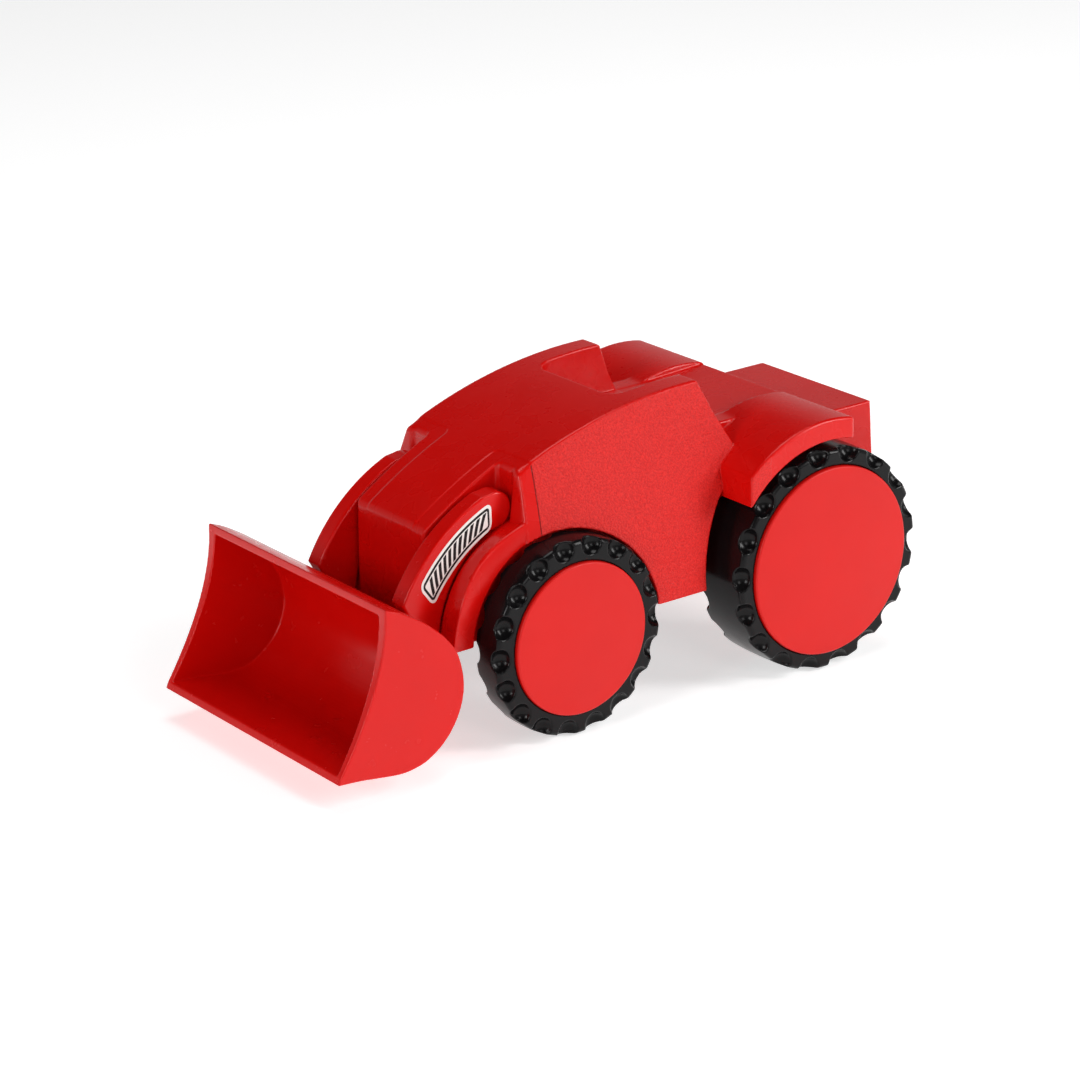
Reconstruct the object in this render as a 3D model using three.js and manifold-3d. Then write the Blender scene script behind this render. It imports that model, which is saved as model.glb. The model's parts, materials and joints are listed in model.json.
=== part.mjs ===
// Toy front loader: a moulded body on four wheels, a lifting pair of arms and a tilting bucket.
// Millimetres. +X is forward, +Y is the loader's left, +Z is up.
// The pieces are laid out from the rear axle (x = 0 there) and from a datum just above the floor,
// and the whole is then moved so that the origin is the middle of its footprint on the floor.
import * as THREE from 'three';
import { mergeVertices } from 'three/addons/utils/BufferGeometryUtils.js';
import Module from 'manifold-3d';

const wasm = await Module();
wasm.setup();

// ---------------------------------------------------------------- driving dimensions
const WHEELBASE = 95;
const WALL = 2.5;                       // moulded wall thickness

// Roof line of the body: one long arc in side view.
const ROOF = { x: 35.9, z: -71.5, r: 169.75 };
const ROOF_HALF_WIDTH = 29.66;
const FLARE_SLOPE = 0.4526;             // the sides flare out below the roof ...
const FLARE_CURVE = -0.00326;           // ... less and less further down

const BODY_BOTTOM = 33.5;
const SPINE_HALF_WIDTH = 27.8;          // body between the rear wheels, and the box behind them
const WELL_HALF_WIDTH = 33;             // body between the front wheels
const SHOULDER_X = 104.2;               // rear wall of the pockets that the arms lie in
const FLANK_TOP = { x: 104.9, z: 81 };  // front edge of the flared sides, outboard of the pockets
const FLANK_LOW = { x: 107.2, z: 64 };
const HOOD_FRONT = 132.8;
const HOOD_HALF_WIDTH = 18.5;
const HOOD_CROWN_START = 12;            // half-width where the hood starts to fall away
const HOOD_CROWN_DROP = 0.15;
const FRONT_ARCH_RADIUS = 33.06;
const REAR_ARCH_RADIUS = 42.46;

const BOX_TOP = 74.9;
const BOX_REAR_TOP_X = -42.1;
const BOX_REAR_BOTTOM_X = -43.7;
const BOX_BOTTOM = 45;
const FENDER_REAR_X = -11.1;

const FENDER_INNER_Y = 20.7;
const FENDER_OUTER_Y = 55.2;
const FENDER_RADIUS = 47.5;
const FENDER_LIP_RADIUS = 40.5;
const FENDER_FRONT_X = 32.2;
const FENDER_SKIN = 2.2;

const COCKPIT_FLOOR = 81.4;
const COCKPIT_FRONT_X = 60;
const COCKPIT_HALF_WIDTH = FENDER_INNER_Y;
const COCKPIT_CORNER = 6;
const DECK_REAR_X = -9.7;
const DECK_REAR_Z = 82.8;

// A dimple is part of a ball whose middle is inside the tread and just outside the tyre's side.
const FRONT_WHEEL = { x: WHEELBASE, z: 31.48, tyreRadius: 32.33, hubRadius: 24.96,
  tyreInner: 35.3, tyreOuter: 48, face: 48.56,
  dimplePhase: 0, dimpleRadius: 3.8, dimpleInset: 1.6, dimpleOut: 0.6 };
const REAR_WHEEL = { x: 0, z: 36.65, tyreRadius: 37.5, hubRadius: 31.65,
  tyreInner: 33.5, tyreOuter: 56.3, face: 56.86,
  dimplePhase: 3, dimpleRadius: 4.2, dimpleInset: 0.7, dimpleOut: 0.4 };
const FLOOR_DROP = FRONT_WHEEL.tyreRadius - FRONT_WHEEL.z;      // from the datum to the floor
const DIMPLES = 18;
const TYRE_EDGE = 0.8;
const TYRE_SEAT_GAP = 0.15;
const HUB_DEPTH = 11;
const HUB_SKIN = 2.4;
const BOSS_RADIUS = 5;
const AXLE_RADIUS = 2;

const ARM_INNER_Y = 19.8;
const ARM_OUTER_Y = 26.56;
const ARM_PIVOT = { x: 110.9, z: 71.7 };
const BUCKET_PIVOT = { x: 137.3, z: 31 };
const ARM_BACK = { x: 93.4, z: 21.1, r: 60.2 };     // outer edge of an arm, as an arc
const ARM_BELLY_RADIUS = 38.7;                       // inner edge, about the front axle
const ARM_CAP_RADIUS = 5.9;
const ARM_FOOT_RADIUS = 3.4;
const PIVOT_ROD_RADIUS = 1.5;
const BUCKET_ROD_RADIUS = 1.25;
const LABEL = { inner: 49, outer: 57.2, from: 32.5, to: 68.5, corner: 2, thickness: 0.2 };

// Front mudguards, lower in the pockets under the arms: radius about the axle, and half-width.
const POCKET_RADIUS = 37.4;
const POCKET_OUTER_Y = 27;
const GUARD_FACE_Y = 36.9;
const GUARD_PROFILE = [
  [POCKET_RADIUS, POCKET_OUTER_Y],
  [39.2, POCKET_OUTER_Y + 0.2],
  [40.2, 30.5],
  [40.9, 34.8],
  [40.4, 36.2],
  [39, GUARD_FACE_Y],
];

const SCREW_POSTS = [
  { x: -12, ceiling: BOX_TOP - 1 },
  { x: 112, ceiling: 63.5 },
];
const SCREW_Y = 17.5;
const PLATE_BOTTOM = 33;
const PLATE_TOP = 35.5;
const PLATE_GAP = 0.4;                  // between the plate and the shell around it

// Outer outline of the scoop in side view, from the top lip round the back to the cutting lip.
const SCOOP_BACK = [
  [168.6, 60], [163.2, 57.7], [156.1, 53.4], [152.2, 50.4], [148.6, 47.2], [145.6, 43.8],
  [143.4, 40.6], [142, 36.8], [141.1, 32.4], [140.9, 28.6], [141.5, 24.3], [142.9, 20.2],
  [145, 16.4], [147.9, 12.8], [151.6, 9.7], [156, 7.3], [160.6, 6.2], [165.4, 5.9],
  [172.7, 6.8], [180, 7.8],
];
const SCOOP_LIP = [187.9, 8.4];
const BUCKET_HALF_WIDTH = 49.5;
const BUCKET_WALL = 2.6;
const HINGE_RADIUS = 3.2;
const HINGE_HALF_WIDTH = 19.3;

const ROUND = 20;                       // facets round a rod or a bore
const WHEEL_FACETS = 36;
const ARCH_FACETS = 60;
const RUNNING_GAP = 0.06;               // radial clearance of a shaft in its bore

// ---------------------------------------------------------------- solids
function toSolid(geometry) {
  let bare = geometry.clone();
  bare.deleteAttribute('normal');
  if (bare.getAttribute('uv')) bare.deleteAttribute('uv');
  bare = mergeVertices(bare, 1e-4);
  const kept = [];
  const index = bare.index.array;
  for (let i = 0; i < index.length; i += 3) {
    const [a, b, c] = [index[i], index[i + 1], index[i + 2]];
    if (a !== b && b !== c && c !== a) kept.push(a, b, c);
  }
  return new wasm.Manifold(new wasm.Mesh({
    numProp: 3,
    vertProperties: new Float32Array(bare.getAttribute('position').array),
    triVerts: new Uint32Array(kept),
  }));
}

function toGeometry(solid) {
  const mesh = solid.getMesh();
  const geometry = new THREE.BufferGeometry();
  geometry.setAttribute('position', new THREE.BufferAttribute(mesh.vertProperties, 3));
  geometry.setIndex(new THREE.BufferAttribute(mesh.triVerts, 1));
  geometry.computeVertexNormals();
  return geometry;
}

function join(...solids) {
  return solids.reduce((sum, solid) => sum.add(solid));
}

function box(x0, x1, y0, y1, z0, z1) {
  const geometry = new THREE.BoxGeometry(x1 - x0, y1 - y0, z1 - z0);
  geometry.translate((x0 + x1) / 2, (y0 + y1) / 2, (z0 + z1) / 2);
  return toSolid(geometry);
}

// Outline in side view, [x, z] points, made solid from y0 to y1.
function sidePrism(outline, y0, y1, reshape = null) {
  const shape = new THREE.Shape(outline.map(([x, z]) => new THREE.Vector2(x, z)));
  const geometry = new THREE.ExtrudeGeometry(shape, { depth: y1 - y0, bevelEnabled: false });
  geometry.rotateX(Math.PI / 2);
  geometry.translate(0, y1, 0);
  if (reshape) reshape(geometry.getAttribute('position'));
  return toSolid(geometry);
}

// Round bar along Y.
function bar(x, z, radius, y0, y1, facets = ROUND) {
  const geometry = new THREE.CylinderGeometry(radius, radius, y1 - y0, facets);
  geometry.translate(x, (y0 + y1) / 2, z);
  return toSolid(geometry);
}

// A bore whose flats clear a faceted rod of the given radius.
function boreRadius(rodRadius) {
  return (rodRadius + RUNNING_GAP) / Math.cos(Math.PI / ROUND);
}

// Round post along Z.
function post(x, y, radius, z0, z1, facets = 16) {
  const geometry = new THREE.CylinderGeometry(radius, radius, z1 - z0, facets);
  geometry.rotateX(Math.PI / 2);
  geometry.translate(x, y, (z0 + z1) / 2);
  return toSolid(geometry);
}

// Profile of [radius, y] points turned about a line along Y through (x, z).
function turned(x, z, profile, facets) {
  const points = profile.map(([r, y]) => new THREE.Vector2(r, y));
  const geometry = new THREE.LatheGeometry(points, facets);
  geometry.translate(x, 0, z);
  return toSolid(geometry);
}

function arc(x, z, radius, fromDeg, toDeg, steps) {
  return Array.from({ length: steps + 1 }, (_, i) => {
    const angle = THREE.MathUtils.degToRad(fromDeg + (toDeg - fromDeg) * i / steps);
    return [x + radius * Math.cos(angle), z + radius * Math.sin(angle)];
  });
}

// A box of nx by ny by nz cells whose corners (0..1 each way) are placed by a function.
function warpedBox(nx, ny, nz, place) {
  const geometry = new THREE.BoxGeometry(1, 1, 1, nx, ny, nz);
  const position = geometry.getAttribute('position');
  for (let i = 0; i < position.count; i += 1) {
    const at = [position.getX(i) + 0.5, position.getY(i) + 0.5, position.getZ(i) + 0.5];
    position.setXYZ(i, ...place(...at));
  }
  return toSolid(geometry);
}

const parts = new THREE.Group();
parts.name = 'loader_from_rear_axle';

function material(color, roughness, metalness = 0) {
  return new THREE.MeshStandardMaterial({ color, roughness, metalness });
}

function addPart(name, solid, look, group = parts) {
  const mesh = new THREE.Mesh(toGeometry(solid), look);
  mesh.name = name;
  group.add(mesh);
}

const redPlastic = material(0xc8201c, 0.35);
const blackPlastic = material(0x18171a, 0.3);
const darkPlastic = material(0x2a2a2c, 0.6);
const steel = material(0xb8bcc0, 0.3, 1);
const labelWhite = material(0xf4f2ee, 0.45);

// ---------------------------------------------------------------- body shell
function roofHeight(x) {
  return ROOF.z + Math.sqrt(ROOF.r ** 2 - (x - ROOF.x) ** 2);
}

function flaredHalfWidth(depth) {
  return ROOF_HALF_WIDTH + FLARE_SLOPE * depth + FLARE_CURVE * depth ** 2;
}

// The flared middle of the body; inset > 0 gives the hollow inside it.
function flaredBody(x0, x1, inset) {
  const bottom = BODY_BOTTOM - (inset > 0 ? 2 : 0);
  return warpedBox(18, 1, 7, (u, v, w) => {
    const x = x0 + (x1 - x0) * u;
    const top = roofHeight(x);
    const depth = (top - bottom) * (1 - w) ** 1.3;
    const z = Math.min(top - depth, top - inset);
    return [x, (2 * v - 1) * (flaredHalfWidth(top - z) - inset), z];
  });
}

function hoodBlock(x0, x1, halfWidth, inset) {
  return warpedBox(8, 8, 1, (u, v, w) => {
    const x = x0 + (x1 - x0) * u;
    const y = (2 * v - 1) * halfWidth;
    const side = Math.max(0, Math.abs(y) + inset - HOOD_CROWN_START);
    const drop = HOOD_CROWN_DROP * (side / (HOOD_HALF_WIDTH - HOOD_CROWN_START)) ** 2;
    const bottom = BODY_BOTTOM - (inset > 0 ? 2 : 0);
    return [x, y, w < 0.5 ? bottom : roofHeight(x) - drop - inset];
  });
}

function frontGuards() {
  const rightHalf = [...GUARD_PROFILE].reverse().map(([r, y]) => [r, -y]);
  const profile = [[0, -GUARD_FACE_Y], ...rightHalf, ...GUARD_PROFILE, [0, GUARD_FACE_Y]];
  const guards = turned(FRONT_WHEEL.x, FRONT_WHEEL.z, profile, ARCH_FACETS);
  return guards.intersect(box(SHOULDER_X - 1.5, 140, -40, 40, BODY_BOTTOM - 0.5, 90));
}

function rearFenders() {
  const section = [
    [30, FENDER_INNER_Y],
    [FENDER_RADIUS, FENDER_INNER_Y],
    [FENDER_RADIUS, FENDER_OUTER_Y - 1.6],
    [FENDER_RADIUS - 0.5, FENDER_OUTER_Y - 0.5],
    [FENDER_RADIUS - 1.6, FENDER_OUTER_Y],
    [FENDER_LIP_RADIUS, FENDER_OUTER_Y],
    [FENDER_LIP_RADIUS, FENDER_OUTER_Y - FENDER_SKIN],
    [FENDER_LIP_RADIUS, SPINE_HALF_WIDTH - 1],
    [30, SPINE_HALF_WIDTH - 1],
    [30, FENDER_INNER_Y],
  ];
  const solids = [1, -1].map((side) => {
    let profile = section.map(([r, y]) => [r, side * y]);
    if (side < 0) profile = profile.reverse();
    const hollow = bar(0, REAR_WHEEL.z, FENDER_RADIUS - FENDER_SKIN,
      side > 0 ? SPINE_HALF_WIDTH : FENDER_SKIN - FENDER_OUTER_Y,
      side > 0 ? FENDER_OUTER_Y - FENDER_SKIN : -SPINE_HALF_WIDTH, ARCH_FACETS);
    const room = box(FENDER_REAR_X + FENDER_SKIN, FENDER_FRONT_X - FENDER_SKIN, -60, 60, 60, 90);
    const block = turned(0, REAR_WHEEL.z, profile, ARCH_FACETS)
      .intersect(box(FENDER_REAR_X, FENDER_FRONT_X, -60, 60, 61.2, 90));
    return block.subtract(hollow.intersect(room));
  });
  return join(...solids);
}

function spine() {
  const rearTop = [[BOX_REAR_TOP_X + 1, BOX_TOP], [BOX_REAR_TOP_X, BOX_TOP - 1]];
  return sidePrism([
    [-18, BODY_BOTTOM],
    [70, BODY_BOTTOM],
    [70, COCKPIT_FLOOR],
    [17.7, COCKPIT_FLOOR],
    [DECK_REAR_X, DECK_REAR_Z],
    [FENDER_REAR_X, DECK_REAR_Z - 1.6],
    [FENDER_REAR_X, BOX_TOP],
    ...rearTop,
    [BOX_REAR_BOTTOM_X, BOX_BOTTOM],
    [-30, BOX_BOTTOM],
  ], -SPINE_HALF_WIDTH, SPINE_HALF_WIDTH);
}

// Side view of the flared body: slanted cab edge, fender front, then round the rear wheel.
function flaredOutline(inset) {
  const archRadius = REAR_ARCH_RADIUS + inset;
  const archTop = THREE.MathUtils.radToDeg(Math.acos((FENDER_FRONT_X + inset) / archRadius));
  const low = BODY_BOTTOM - (inset > 0 ? 2 : 0);
  const archLow = THREE.MathUtils.radToDeg(Math.asin((low - REAR_WHEEL.z) / archRadius));
  return [
    ...arc(0, REAR_WHEEL.z, archRadius, archLow, archTop, 12),
    [FENDER_FRONT_X + inset, 71],
    [24.9 + inset, 77.4],
    [27.2 + inset, 81.9],
    [30 + inset, 88],
    [33.3 + inset, 98],
    [33.6 + inset, 110],
    [92 - inset, 110],
    [99.5 - inset, roofHeight(99.5) - inset],
    [102.2 - inset, roofHeight(102.2) - 0.65 - inset],
    [104 - inset, roofHeight(104) - 1.4 - inset],
    [FLANK_TOP.x - inset, FLANK_TOP.z - inset],
    [FLANK_LOW.x - inset, FLANK_LOW.z],
    [FLANK_LOW.x - inset, low],
  ];
}

function cockpit(inset) {
  const halfWidth = COCKPIT_HALF_WIDTH + inset;
  const front = COCKPIT_FRONT_X + inset;
  const plan = new THREE.Shape();
  plan.moveTo(10, -halfWidth);
  plan.lineTo(front - COCKPIT_CORNER, -halfWidth);
  plan.absarc(front - COCKPIT_CORNER, COCKPIT_CORNER - halfWidth, COCKPIT_CORNER, -Math.PI / 2, 0);
  plan.absarc(front - COCKPIT_CORNER, halfWidth - COCKPIT_CORNER, COCKPIT_CORNER, 0, Math.PI / 2);
  plan.lineTo(10, halfWidth);
  const floor = COCKPIT_FLOOR - inset;
  const geometry = new THREE.ExtrudeGeometry(plan,
    { depth: 120 - floor, bevelEnabled: false, curveSegments: 4 });
  geometry.translate(0, 0, floor);
  return toSolid(geometry);
}

// Wheel wells cut from the flared sides and the guards, outboard of the inner walls.
function wells(wheel, radius, innerY) {
  return join(
    bar(wheel.x, wheel.z, radius, innerY, 70, ARCH_FACETS),
    bar(wheel.x, wheel.z, radius, -70, -innerY, ARCH_FACETS),
  );
}

function bodyShell() {
  const pockets = box(SHOULDER_X, FLANK_LOW.x + 1, -POCKET_OUTER_Y, POCKET_OUTER_Y, 0, 120);
  const flared = flaredBody(20, FLANK_LOW.x, 0)
    .intersect(sidePrism(flaredOutline(0), -60, 60))
    .subtract(pockets);
  let shell = join(
    flared,
    hoodBlock(SHOULDER_X - 20, HOOD_FRONT, HOOD_HALF_WIDTH, 0),
    frontGuards(),
    spine(),
    rearFenders(),
  );
  shell = shell.subtract(wells(FRONT_WHEEL, FRONT_ARCH_RADIUS, WELL_HALF_WIDTH));

  const flaredHollow = flaredBody(22, SHOULDER_X - WALL, WALL)
    .intersect(sidePrism(flaredOutline(WALL), -60, 60))
    .subtract(wells(FRONT_WHEEL, FRONT_ARCH_RADIUS + WALL, WELL_HALF_WIDTH - WALL))
    .subtract(cockpit(WALL));
  const hoodHollow = hoodBlock(SHOULDER_X - 22, HOOD_FRONT - WALL, HOOD_HALF_WIDTH - WALL, WALL);
  const guardHollow = bar(FRONT_WHEEL.x, FRONT_WHEEL.z, POCKET_RADIUS - WALL,
    WALL - WELL_HALF_WIDTH, WELL_HALF_WIDTH - WALL, ARCH_FACETS)
    .intersect(box(80, 140, -40, 40, BODY_BOTTOM - 2, 90));
  const spineHollow = sidePrism([
    [-15, BODY_BOTTOM - 2],
    [64, BODY_BOTTOM - 2],
    [64, COCKPIT_FLOOR - WALL],
    [17.7, COCKPIT_FLOOR - WALL],
    [DECK_REAR_X + 1.1, DECK_REAR_Z - WALL - 0.6],
    [FENDER_REAR_X + WALL, BOX_TOP - WALL],
    [BOX_REAR_TOP_X + WALL, BOX_TOP - WALL],
    [BOX_REAR_BOTTOM_X + WALL, BOX_BOTTOM + WALL],
    [-29, BOX_BOTTOM + WALL],
    [-15, BODY_BOTTOM + 1],
  ], WALL - SPINE_HALF_WIDTH, SPINE_HALF_WIDTH - WALL);
  shell = shell.subtract(join(flaredHollow, hoodHollow, guardHollow, spineHollow));
  shell = shell.subtract(cockpit(0).subtract(box(-20, 17.7, -60, 60, 0, DECK_REAR_Z + 0.1)));

  for (const { x, ceiling } of SCREW_POSTS) {
    for (const y of [-SCREW_Y, SCREW_Y]) {
      shell = shell.add(post(x, y, 3.2, PLATE_TOP + 0.3, ceiling));
      shell = shell.subtract(post(x, y, 1.3, PLATE_TOP, PLATE_TOP + 12));
    }
  }
  // The arms' pivot rod turns in the two hood walls; the axles pass the side walls with room.
  shell = shell.subtract(bar(ARM_PIVOT.x, ARM_PIVOT.z, boreRadius(PIVOT_ROD_RADIUS), -19, 19));
  for (const wheel of [FRONT_WHEEL, REAR_WHEEL]) {
    shell = shell.subtract(bar(wheel.x, wheel.z, AXLE_RADIUS + 0.8, -40, 40));
    shell = shell.subtract(box(wheel.x - 2.8, wheel.x + 2.8, -40, 40, 30, wheel.z));
  }
  return shell;
}
addPart('body_shell', bodyShell(), redPlastic);

// ---------------------------------------------------------------- chassis plate and screws
function chassisPlate() {
  const spineHalf = SPINE_HALF_WIDTH - WALL - PLATE_GAP;
  const wellHalf = WELL_HALF_WIDTH - WALL - PLATE_GAP;
  let plate = join(
    box(-14.4, 60, -spineHalf, spineHalf, PLATE_BOTTOM, PLATE_TOP),
    box(46, 58.6, -42, 42, PLATE_BOTTOM, PLATE_TOP),
    box(46, HOOD_FRONT - WALL - 0.8, -wellHalf, wellHalf, PLATE_BOTTOM, PLATE_TOP),
  );
  for (const side of [-1, 1]) {
    const y0 = side > 0 ? 21 : -24.5;
    plate = plate.add(box(-6, 6, y0, y0 + 3.5, PLATE_BOTTOM - 1, 42));
    plate = plate.add(box(WHEELBASE - 6, WHEELBASE + 6, y0, y0 + 3.5, 27.5, 38));
  }
  for (const wheel of [FRONT_WHEEL, REAR_WHEEL]) {
    plate = plate.subtract(bar(wheel.x, wheel.z, boreRadius(AXLE_RADIUS), -30, 30));
    plate = plate.subtract(box(wheel.x - 2.6, wheel.x + 2.6, -20, 20, 28, 40));
    plate = plate.subtract(box(wheel.x - 2.6, wheel.x + 2.6, 25.5, 40, 28, 40));
    plate = plate.subtract(box(wheel.x - 2.6, wheel.x + 2.6, -40, -25.5, 28, 40));
  }
  for (const { x } of SCREW_POSTS) {
    for (const y of [-SCREW_Y, SCREW_Y]) plate = plate.subtract(post(x, y, 1.7, 30, 40));
  }
  return plate;
}
addPart('chassis_plate', chassisPlate(), darkPlastic);

function screw(x, y) {
  const head = post(x, y, 2.9, PLATE_BOTTOM - 1.9, PLATE_BOTTOM - 0.1);
  const slot = join(
    box(x - 1.8, x + 1.8, y - 0.35, y + 0.35, PLATE_BOTTOM - 3, PLATE_BOTTOM - 1.1),
    box(x - 0.35, x + 0.35, y - 1.8, y + 1.8, PLATE_BOTTOM - 3, PLATE_BOTTOM - 1.1),
  );
  return head.add(post(x, y, 1.2, PLATE_BOTTOM - 0.5, PLATE_TOP + 9)).subtract(slot);
}
SCREW_POSTS.forEach(({ x }, i) => {
  addPart(`chassis_screw_${2 * i + 1}`, screw(x, SCREW_Y), steel);
  addPart(`chassis_screw_${2 * i + 2}`, screw(x, -SCREW_Y), steel);
});

// ---------------------------------------------------------------- wheels and axles
// Tyre ring with round dimples scooped from both shoulders; y is measured from the body's middle.
function tyre(wheel, side) {
  const bore = wheel.hubRadius + TYRE_SEAT_GAP;
  const r = wheel.tyreRadius;
  const [y0, y1] = [wheel.tyreInner, wheel.tyreOuter];
  const profile = [
    [bore, y0],
    [r - TYRE_EDGE, y0],
    [r, y0 + TYRE_EDGE],
    [r, y1 - TYRE_EDGE],
    [r - TYRE_EDGE, y1],
    [bore, y1],
    [bore, y0],
  ];
  let ring = turned(0, 0, profile, WHEEL_FACETS);
  for (let i = 0; i < DIMPLES; i += 1) {
    const angle = THREE.MathUtils.degToRad(wheel.dimplePhase + i * 360 / DIMPLES);
    for (const y of [y0 - wheel.dimpleOut, y1 + wheel.dimpleOut]) {
      const scoop = new THREE.IcosahedronGeometry(wheel.dimpleRadius);
      scoop.rotateY(-angle);
      const reach = r - wheel.dimpleInset;
      scoop.translate(reach * Math.cos(angle), y, reach * Math.sin(angle));
      ring = ring.subtract(toSolid(scoop));
    }
  }
  return side > 0 ? ring : mirrored(ring);
}

// The same piece on the loader's other side.
function mirrored(solid) {
  const geometry = toGeometry(solid);
  const position = geometry.getAttribute('position');
  for (let i = 0; i < position.count; i += 1) position.setY(i, -position.getY(i));
  const index = geometry.index.array;
  for (let i = 0; i < index.length; i += 3) {
    [index[i], index[i + 1]] = [index[i + 1], index[i]];
  }
  return toSolid(geometry);
}

// Disc hub: flat outer face, rim wall under the tyre, and a blind boss that grips the axle.
function hub(wheel, bossEnd, side) {
  const { face, hubRadius: r } = wheel;
  const bore = AXLE_RADIUS + 0.05;
  const profile = [
    [0, face - HUB_SKIN - 1.2],
    [bore, face - HUB_SKIN - 1.2],
    [bore, bossEnd],
    [BOSS_RADIUS, bossEnd],
    [BOSS_RADIUS, face - HUB_SKIN],
    [r - 2.2, face - HUB_SKIN],
    [r - 2.2, face - HUB_DEPTH],
    [r, face - HUB_DEPTH],
    [r, face - 0.8],
    [r - 0.25, face - 0.25],
    [r - 0.8, face],
    [0, face],
  ];
  const disc = turned(0, 0, profile, WHEEL_FACETS);
  return side > 0 ? disc : mirrored(disc);
}

function washer(innerY, side) {
  const bore = AXLE_RADIUS + 0.15;
  const profile = [[bore, innerY], [5, innerY], [5, innerY + 0.9], [bore, innerY + 0.9], [bore, innerY]];
  const ring = turned(0, 0, profile, 16);
  return side > 0 ? ring : mirrored(ring);
}

function wheelSet(end, wheel, wallY) {
  const group = new THREE.Group();
  group.position.set(wheel.x, 0, wheel.z);
  parts.add(group);
  const axleEnd = wheel.face - HUB_SKIN - 1.4;
  addPart(`${end}_axle`, bar(0, 0, AXLE_RADIUS, -axleEnd, axleEnd), steel, group);
  for (const [name, side] of [['left', 1], ['right', -1]]) {
    addPart(`${end}_tyre_${name}`, tyre(wheel, side), blackPlastic, group);
    addPart(`${end}_hub_${name}`, hub(wheel, wallY + 1.6, side), redPlastic, group);
    addPart(`${end}_washer_${name}`, washer(wallY + 0.35, side), steel, group);
  }
}
wheelSet('front', FRONT_WHEEL, WELL_HALF_WIDTH);
wheelSet('rear', REAR_WHEEL, SPINE_HALF_WIDTH);

// ---------------------------------------------------------------- loader arms
function armOutline() {
  return [
    ...arc(ARM_BACK.x, ARM_BACK.z, ARM_BACK.r, 27.2, 68, 14),
    ...arc(ARM_PIVOT.x, ARM_PIVOT.z, ARM_CAP_RADIUS, 75, 250, 12),
    ...arc(WHEELBASE, FRONT_WHEEL.z, ARM_BELLY_RADIUS, 60, 3, 14),
    ...arc(BUCKET_PIVOT.x, BUCKET_PIVOT.z, ARM_FOOT_RADIUS, 190, 360, 8),
    [140.4, 35],
    [141.6, 39],
    [144.4, 44],
  ];
}

function arm(side) {
  const [y0, y1] = side > 0 ? [ARM_INNER_Y, ARM_OUTER_Y] : [-ARM_OUTER_Y, -ARM_INNER_Y];
  const [bore0, bore1] = side > 0 ? [y0 - 1, y0 + 5] : [y1 - 5, y1 + 1];
  return sidePrism(armOutline(), y0, y1)
    .subtract(bar(ARM_PIVOT.x, ARM_PIVOT.z, PIVOT_ROD_RADIUS + 0.05, bore0, bore1))
    .subtract(bar(BUCKET_PIVOT.x, BUCKET_PIVOT.z, BUCKET_ROD_RADIUS + 0.05, bore0, bore1));
}
addPart('arm_left', arm(1), redPlastic);
addPart('arm_right', arm(-1), redPlastic);

const ROD_END = ARM_INNER_Y + 4.8;      // both rods stop inside blind bores in the arms
addPart('arm_pivot_rod', bar(ARM_PIVOT.x, ARM_PIVOT.z, PIVOT_ROD_RADIUS, -ROD_END, ROD_END), steel);
addPart('bucket_pivot_rod',
  bar(BUCKET_PIVOT.x, BUCKET_PIVOT.z, BUCKET_ROD_RADIUS, -ROD_END, ROD_END), steel);

// Plain curved label on each arm's outer face, following the arm's back.
function label(side) {
  const { inner, outer, from, to, corner } = LABEL;
  const turn = THREE.MathUtils.radToDeg(corner / (inner + corner));
  const outline = [
    ...arc(ARM_BACK.x, ARM_BACK.z, outer, from + turn, to - turn, 12),
    ...arc(ARM_BACK.x, ARM_BACK.z, outer - corner, to - turn * 0.3, to, 1),
    ...arc(ARM_BACK.x, ARM_BACK.z, inner + corner, to, to - turn * 0.3, 1),
    ...arc(ARM_BACK.x, ARM_BACK.z, inner, to - turn, from + turn, 12),
    ...arc(ARM_BACK.x, ARM_BACK.z, inner + corner, from + turn * 0.3, from, 1),
    ...arc(ARM_BACK.x, ARM_BACK.z, outer - corner, from, from + turn * 0.3, 1),
  ];
  const near = ARM_OUTER_Y + 0.05;
  const far = near + LABEL.thickness;
  return side > 0 ? sidePrism(outline, near, far) : sidePrism(outline, -far, -near);
}
addPart('label_left', label(1), labelWhite);
addPart('label_right', label(-1), labelWhite);

// ---------------------------------------------------------------- bucket
// Front edge of the side walls: a shallow hollow curve between the two lips.
function sideWallFront(z) {
  return 194.4 - 0.7324 * z + 0.002844 * z ** 2 + 3.72e-5 * z ** 3;
}

// Half of the room between the side walls, which are thicker near the top.
function scoopHalfRoom(z) {
  return BUCKET_HALF_WIDTH - 2.2 - 1.6 * THREE.MathUtils.clamp((z - 8) / 52, 0, 1);
}

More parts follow.
